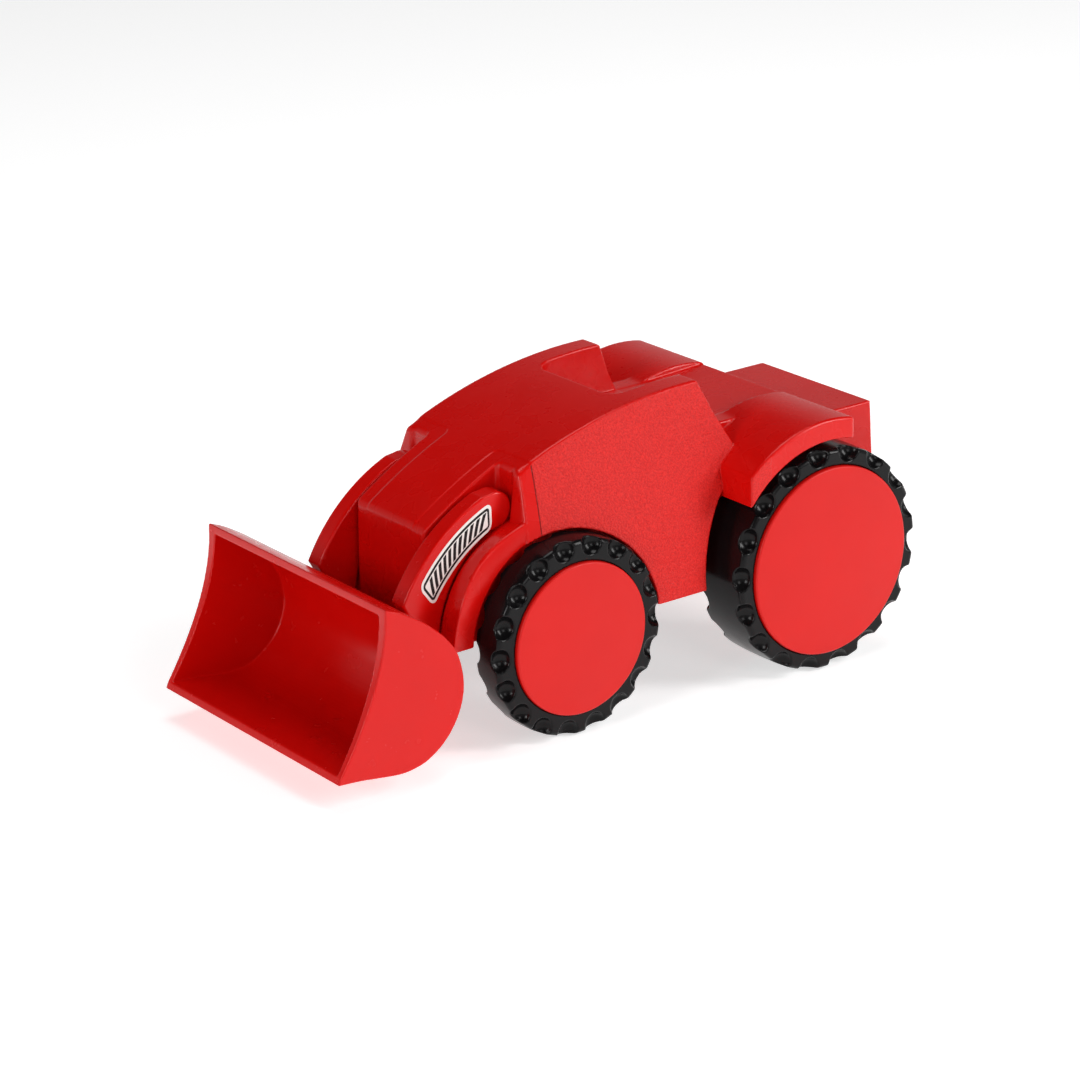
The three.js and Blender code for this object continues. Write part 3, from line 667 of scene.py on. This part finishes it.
# where the textured panel ends, as pairs that it fades in between; all but the first in metres
PANEL_FACING = (0.80, 0.86)             # how squarely its faces look sideways
PANEL_OUTBOARD = (0.0287, 0.0292)       # to the side of the middle
PANEL_REAR = (0.0240, 0.0246)           # forward of the rear axle
PANEL_LOW = (0.0334, 0.0338)            # above the floor
PANEL_FRONT = (-0.00015, 0.00005)       # forward of the parting line
SEAM_EDGE = (0.00008, 0.00024)          # the line's half width
SEAM_TOP, SEAM_LOW = (99.8, 85.4), (101.8, 64.5)        # points on the line, in millimetres


def body_red():
    """Body plastic: spark-textured behind the parting line on the flared sides, smooth elsewhere, with
    painted shade along the parting line.
    """
    m = Nodes("body_red")
    place = m.add("ShaderNodeSeparateXYZ")
    m.link(m.coords, place.inputs[0])
    facing = m.add("ShaderNodeSeparateXYZ")
    m.link(m.add("ShaderNodeNewGeometry").outputs["Normal"], facing.inputs[0])
    x, z = place.outputs["X"], place.outputs["Z"]
    lean = (SEAM_LOW[0] - SEAM_TOP[0]) / (SEAM_LOW[1] - SEAM_TOP[1])
    seam_x = ORIGIN[0] + (SEAM_TOP[0] - lean * SEAM_TOP[1]) * MM - lean * DATUM_Z
    past_seam = m.math("SUBTRACT", x, m.math("MULTIPLY_ADD", z, lean, seam_x))
    sideways = m.ramp(m.math("ABSOLUTE", facing.outputs["Y"]), *PANEL_FACING, 0, 1)
    outboard = m.ramp(m.math("ABSOLUTE", place.outputs["Y"]), *PANEL_OUTBOARD, 0, 1)
    ahead = m.ramp(x, ORIGIN[0] + PANEL_REAR[0], ORIGIN[0] + PANEL_REAR[1], 0, 1)
    behind = m.ramp(past_seam, *PANEL_FRONT, 1, 0)
    above = m.ramp(z, *PANEL_LOW, 0, 1)
    panel = sideways
    for factor in (outboard, ahead, behind, above):
        panel = m.math("MULTIPLY", panel, factor)
    # Along the parting line: a groove in the bump, and painted shade that darkens the base colour.
    line = m.ramp(m.math("ABSOLUTE", past_seam), *SEAM_EDGE, 1, 0)
    line = m.math("MULTIPLY", line, m.math("MULTIPLY", sideways, outboard))

    grain = m.noise(1700, 3, 0.6)
    flow = m.ramp(m.noise(FLOW_SCALE, 2), 0.3, 0.7, 0, 1)
    base = m.mix(flow, RED, RED_DEEP)
    speck = m.mix(m.ramp(grain, 0.35, 0.65, 0, 1), SPARK_LOW, SPARK_HIGH)
    colour = m.mix(panel, base, speck)
    # painted shade in the parting line's groove
    m.link(m.mix(line, colour, SEAM_PAINTED_SHADE), m.shader.inputs["Base Color"])
    smooth = m.ramp(m.noise(120, 2), 0.3, 0.7, 0.25, 0.30)
    rough = m.add("ShaderNodeMix", data_type="FLOAT")
    m.link(panel, rough.inputs[0])
    m.link(smooth, rough.inputs[2])
    rough.inputs[3].default_value = SPARK_ROUGHNESS
    m.link(rough.outputs[0], m.shader.inputs["Roughness"])
    fine = m.math("MULTIPLY", m.noise(PEEL_SCALE, 1), 0.008)
    height = m.math("MULTIPLY_ADD", m.math("MULTIPLY", grain, panel), 1.6, fine)
    height = m.math("SUBTRACT", height, m.math("MULTIPLY", line, 1.5))
    m.shader.inputs["Specular IOR Level"].default_value = PLASTIC_SHEEN
    m.bump(height, 0.75, 0.0003)
    return m.material


def metal(name, colour, roughness):
    """Drawn steel: fine lines along Y and a slightly uneven polish."""
    m = Nodes(name)
    stretch = m.add("ShaderNodeMapping")
    stretch.inputs["Scale"].default_value = (900, 40, 900)
    m.link(m.coords, stretch.inputs["Vector"])
    lines = m.add("ShaderNodeTexNoise")
    lines.inputs["Scale"].default_value = 3
    m.link(stretch.outputs[0], lines.inputs["Vector"])
    m.shader.inputs["Metallic"].default_value = 1
    m.link(m.mix(lines.outputs["Fac"], colour, linear(150, 150, 155)), m.shader.inputs["Base Color"])
    m.link(m.ramp(lines.outputs["Fac"], 0.3, 0.7, *roughness), m.shader.inputs["Roughness"])
    m.bump(lines.outputs["Fac"], 0.15, 0.0001)
    return m.material


BODY_RED = body_red()
LOADER_RED = plastic("loader_red", RED, RED_DEEP, (0.21, 0.28))
HUB_RED = plastic("hub_red", linear(208, 12, 6), linear(202, 10, 5), (0.38, 0.46))
TYRE_BLACK = plastic("tyre_black", linear(16, 15, 16), linear(11, 10, 11), (0.18, 0.26), TYRE_SHEEN)
CHASSIS_DARK = plastic("chassis_dark", linear(38, 38, 40), linear(32, 32, 34), (0.5, 0.6))
STEEL = metal("drawn_steel", linear(190, 192, 196), (0.25, 0.38))
LABEL_WHITE = plastic("label_white", linear(240, 238, 234), linear(234, 232, 227), (0.4, 0.5))
LABEL_BLACK = plastic("label_black", linear(26, 26, 27), linear(20, 20, 21), (0.4, 0.5))


def dress(obj, material, body, slot, *nodes):
    """Gives a piece its material and body, and hides the CAD nodes it stands for. The slot is not
    used.
    """
    obj.data.materials.clear()
    obj.data.materials.append(material)
    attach(obj, body)
    if nodes:
        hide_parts(*nodes)


# ------------------------------------------------------------------ pieces
GRID_SHELL, GRID_SCOOP, GRID_ARM, GRID_TYRE = 0.62, 0.62, 0.42, 0.5
MOST_SCOOP, MOST_ARM, MOST_TYRE = 150_000, 50_000, 90_000
SIDES = (("left", False), ("right", True))             # and whether the piece is mirrored

shell_piece = moulded("shell_moulding", shell, SHELL_LOW, SHELL_HIGH, GRID_SHELL)
dress(shell_piece, BODY_RED, "chassis", "body_red", "body_shell")

scoop_piece = moulded("scoop_moulding", bucket, BUCKET_LOW, BUCKET_HIGH, GRID_SCOOP, MOST_SCOOP)
dress(scoop_piece, LOADER_RED, "scoop", "loader_red", "bucket")

for side, mirrored in SIDES:
    low, high = cad_box("arm_left")
    piece = moulded(f"arm_moulding_{side}", arm, low, high, GRID_ARM, MOST_ARM, mirrored)
    dress(piece, LOADER_RED, "loader_arms", "loader_red", f"arm_{side}")

for end in WHEELS:
    field, low, high = tyre_field(end)
    for side, mirrored in SIDES:
        name = f"{end}_tyre_moulding_{side}"
        piece = moulded(name, field, low, high, GRID_TYRE, MOST_TYRE, mirrored)
        dress(piece, TYRE_BLACK, f"{end}_wheels", "tyre_black", f"{end}_tyre_{side}")
        piece = hub(f"{end}_hub_disc_{side}", end, mirrored)
        dress(piece, HUB_RED, f"{end}_wheels", "hub_red", f"{end}_hub_{side}")


LABEL_IN, LABEL_OUT = 49.0, 57.2        # radii about the middle of the arm's back
LABEL_START, LABEL_END = 32.5, 68.5     # degrees
LABEL_CORNER = 2.2
LABEL_GAP = 0.05
LABEL_ARC_R = 53                        # turns lengths along the label into angles
LABEL_MIDDLE_R = 53.1
LABEL_SLANT = math.radians(0.42)        # per millimetre of radius
WHITE, BLACK = 0, 1
LABEL_PLATES = ((0, 0, 0.10, WHITE), (0.9, 0.10, 0.13, BLACK), (1.7, 0.13, 0.16, WHITE))
BARS, BAR_MARGIN = 11, 4.2              # how many, and the degrees left free at each end
BAR_IN, BAR_OUT = 51.0, 55.2
BAR_HALF, BAR_SLANT = 0.014, 0.022      # radians
BAR_LOW, BAR_HIGH = 0.16, 0.19


def rounded_band(inset):
    """Outline of the label moved in by so much, as radius and angle, with rounded corners."""
    a = math.radians(LABEL_START) + inset / LABEL_ARC_R
    b = math.radians(LABEL_END) - inset / LABEL_ARC_R
    inner, outer = LABEL_IN + inset, LABEL_OUT - inset
    corner = max(LABEL_CORNER - inset, 0.3)
    corners = (
        (outer - corner, b - corner / LABEL_ARC_R, 90, 0),
        (inner + corner, b - corner / LABEL_ARC_R, 0, -90),
        (inner + corner, a + corner / LABEL_ARC_R, -90, -180),
        (outer - corner, a + corner / LABEL_ARC_R, 180, 90),
    )
    points = []
    for r, t, first, last in corners:
        for q in np.radians(np.linspace(first, last, 6)):
            points.append((r + corner * math.sin(q), t + corner * math.cos(q) / LABEL_ARC_R))
    return points


def bar(k):
    """Outline of one slanted bar, as radius and angle."""
    free = math.radians(LABEL_END - LABEL_START - 2 * BAR_MARGIN)
    mid = math.radians(LABEL_START + BAR_MARGIN) + free * k / (BARS - 1)
    return [(BAR_OUT, mid + BAR_SLANT - BAR_HALF), (BAR_OUT, mid + BAR_SLANT + BAR_HALF),
            (BAR_IN, mid - BAR_SLANT + BAR_HALF), (BAR_IN, mid - BAR_SLANT - BAR_HALF)]


def divided(ring):
    """The outline with points about every millimetre, so that it follows the arm's curve."""
    dense = []
    for (r0, t0), (r1, t1) in zip(ring, ring[1:] + ring[:1]):
        steps = max(1, int(abs(t1 - t0) * LABEL_ARC_R))
        for s in range(steps):
            dense.append((r0 + (r1 - r0) * s / steps, t0 + (t1 - t0) * s / steps))
    return dense


def label(side, mirror):
    """A curved white label with a black border and slanted bars, following the arm's back."""
    verts, faces, slots = [], [], []

    def place(r, t, height):
        t += LABEL_SLANT * (r - LABEL_MIDDLE_R)
        x = ARM_BACK_X + r * math.cos(t)
        z = ARM_BACK_Z + r * math.sin(t)
        return (x, ARM_OUT + LABEL_GAP + height, z)

    def plate(outline, low, high, slot):
        ring = divided(outline)
        first = len(verts)
        n = len(ring)
        verts.extend(place(r, t, low) for r, t in ring)
        verts.extend(place(r, t, high) for r, t in ring)
        faces.append(list(range(first, first + n)))
        faces.append(list(range(first + 2 * n - 1, first + n - 1, -1)))
        slots.extend([slot, slot])
        for i in range(n):
            j = (i + 1) % n
            faces.append([first + i, first + n + i, first + n + j, first + j])
            slots.append(slot)

    for inset, low, high, slot in LABEL_PLATES:
        plate(rounded_band(inset), low, high, slot)
    for k in range(BARS):
        plate(bar(k), BAR_LOW, BAR_HIGH, BLACK)
    verts = np.array(verts)
    if mirror:
        verts = verts * (1, -1, 1)
        faces = [f[::-1] for f in faces]
    obj = mesh_object(f"label_print_{side}", verts, faces, smooth=False)
    dress(obj, LABEL_WHITE, "loader_arms", "label", f"label_{side}")
    obj.data.materials.append(LABEL_BLACK)
    obj.data.polygons.foreach_set("material_index", slots)


for side, mirrored in SIDES:
    label(side, mirrored)

PLAIN_NODES = {
    "chassis_plate": CHASSIS_DARK,
    **{f"chassis_screw_{i}": STEEL for i in (1, 2, 3, 4)},
    **{f"{end}_axle": STEEL for end in ("front", "rear")},
    **{f"{end}_washer_{side}": STEEL for end in ("front", "rear") for side in ("left", "right")},
    "arm_pivot_rod": STEEL,
    "bucket_pivot_rod": STEEL,
}
for node, material in PLAIN_NODES.items():
    obj = frame["nodes"][node]
    obj.data.materials.clear()
    obj.data.materials.append(material)

# ------------------------------------------------------------------ camera, floor and light
CAMERA_AT = (720.223, 876.647, 449.411)                 # millimetres, as the fields
CAMERA_YAW, CAMERA_PITCH, CAMERA_ROLL = -2.205394, -0.355105, -0.023467
CAMERA_LENS, CAMERA_SENSOR = 120.175, 36
FLOOR_HALF, FLOOR_DROP = 4.0, 0.0005                    # metres
FLOOR_GLOW = 0.58
HORIZON_LIGHT, OVERHEAD_LIGHT = 0.4, 0.01
SKY_FADE = (0.2, 0.6)                                   # heights between which one becomes the other
SOFT_BOXES = {
    "key": {"at": (0.25, 1.35, 0.80), "size": (0.5, 0.5), "watts": 2.9},
    "side": {"at": (-0.95, 1.05, 0.80), "size": (0.45, 0.9), "watts": 15.4},
    "front": {"at": (1.4, 0.35, 0.60), "size": (0.4, 0.5), "watts": 6.8},
    "top": {"at": (-0.2, -0.2, 1.60), "size": (0.8, 0.8), "watts": 8.6},
}
LIGHT_AIM = Vector((0, 0, 0.04))


def make_camera():
    data = bpy.data.cameras.new("camera")
    data.sensor_width = CAMERA_SENSOR
    data.lens = CAMERA_LENS
    data.clip_end = 20
    camera = bpy.data.objects.new("camera", data)
    forward = Vector((math.cos(CAMERA_YAW) * math.cos(CAMERA_PITCH),
                      math.sin(CAMERA_YAW) * math.cos(CAMERA_PITCH), math.sin(CAMERA_PITCH)))
    right = Vector((math.sin(CAMERA_YAW), -math.cos(CAMERA_YAW), 0))
    up = right.cross(forward)
    turned_right = right * math.cos(CAMERA_ROLL) + up * math.sin(CAMERA_ROLL)
    turned_up = up * math.cos(CAMERA_ROLL) - right * math.sin(CAMERA_ROLL)
    basis = Matrix((turned_right, turned_up, -forward)).transposed()
    place = Vector(to_metres(CAMERA_AT))
    camera.matrix_world = Matrix.Translation(place) @ basis.to_4x4()
    bpy.context.scene.collection.objects.link(camera)
    bpy.context.scene.camera = camera


def make_floor():
    half = FLOOR_HALF
    mesh = bpy.data.meshes.new("floor")
    mesh.from_pydata([(-half, -half, 0), (half, -half, 0), (half, half, 0), (-half, half, 0)], [],
                     [(0, 1, 2, 3)])
    floor = bpy.data.objects.new("floor", mesh)
    floor.location.z = -FLOOR_DROP
    bpy.context.scene.collection.objects.link(floor)
    m = Nodes("pale_floor")
    m.shader.inputs["Base Color"].default_value = (0.8, 0.8, 0.8, 1)
    m.shader.inputs["Roughness"].default_value = 0.9
    m.shader.inputs["Emission Color"].default_value = (1, 1, 1, 1)
    m.shader.inputs["Emission Strength"].default_value = FLOOR_GLOW
    mesh.materials.append(m.material)


def make_soft_box(name, at, size, watts):
    data = bpy.data.lights.new(name, "AREA")
    data.shape = "RECTANGLE"
    data.size, data.size_y = size
    data.energy = watts
    light = bpy.data.objects.new(name, data)
    light.location = at
    light.rotation_euler = (LIGHT_AIM - Vector(at)).to_track_quat("-Z", "Y").to_euler()
    bpy.context.scene.collection.objects.link(light)


def make_light():
    """A white room: pale round the horizon, dim overhead, with soft boxes beside, before and above."""
    world = bpy.data.worlds.new("studio")
    world.use_nodes = True
    tree = world.node_tree
    place = tree.nodes.new("ShaderNodeTexCoord")
    split = tree.nodes.new("ShaderNodeSeparateXYZ")
    tree.links.new(place.outputs["Generated"], split.inputs[0])
    height = tree.nodes.new("ShaderNodeMapRange")
    height.interpolation_type = "SMOOTHSTEP"
    for socket, number in zip(list(height.inputs)[1:5], (*SKY_FADE, HORIZON_LIGHT, OVERHEAD_LIGHT)):
        socket.default_value = number
    tree.links.new(split.outputs["Z"], height.inputs["Value"])
    tree.links.new(height.outputs["Result"], tree.nodes["Background"].inputs["Strength"])
    tree.nodes["Background"].inputs["Color"].default_value = (1, 1, 1, 1)
    bpy.context.scene.world = world
    for name, box in SOFT_BOXES.items():
        make_soft_box(name, **box)


make_camera()
make_floor()
make_light()
bpy.context.scene.view_settings.view_transform = "Standard"
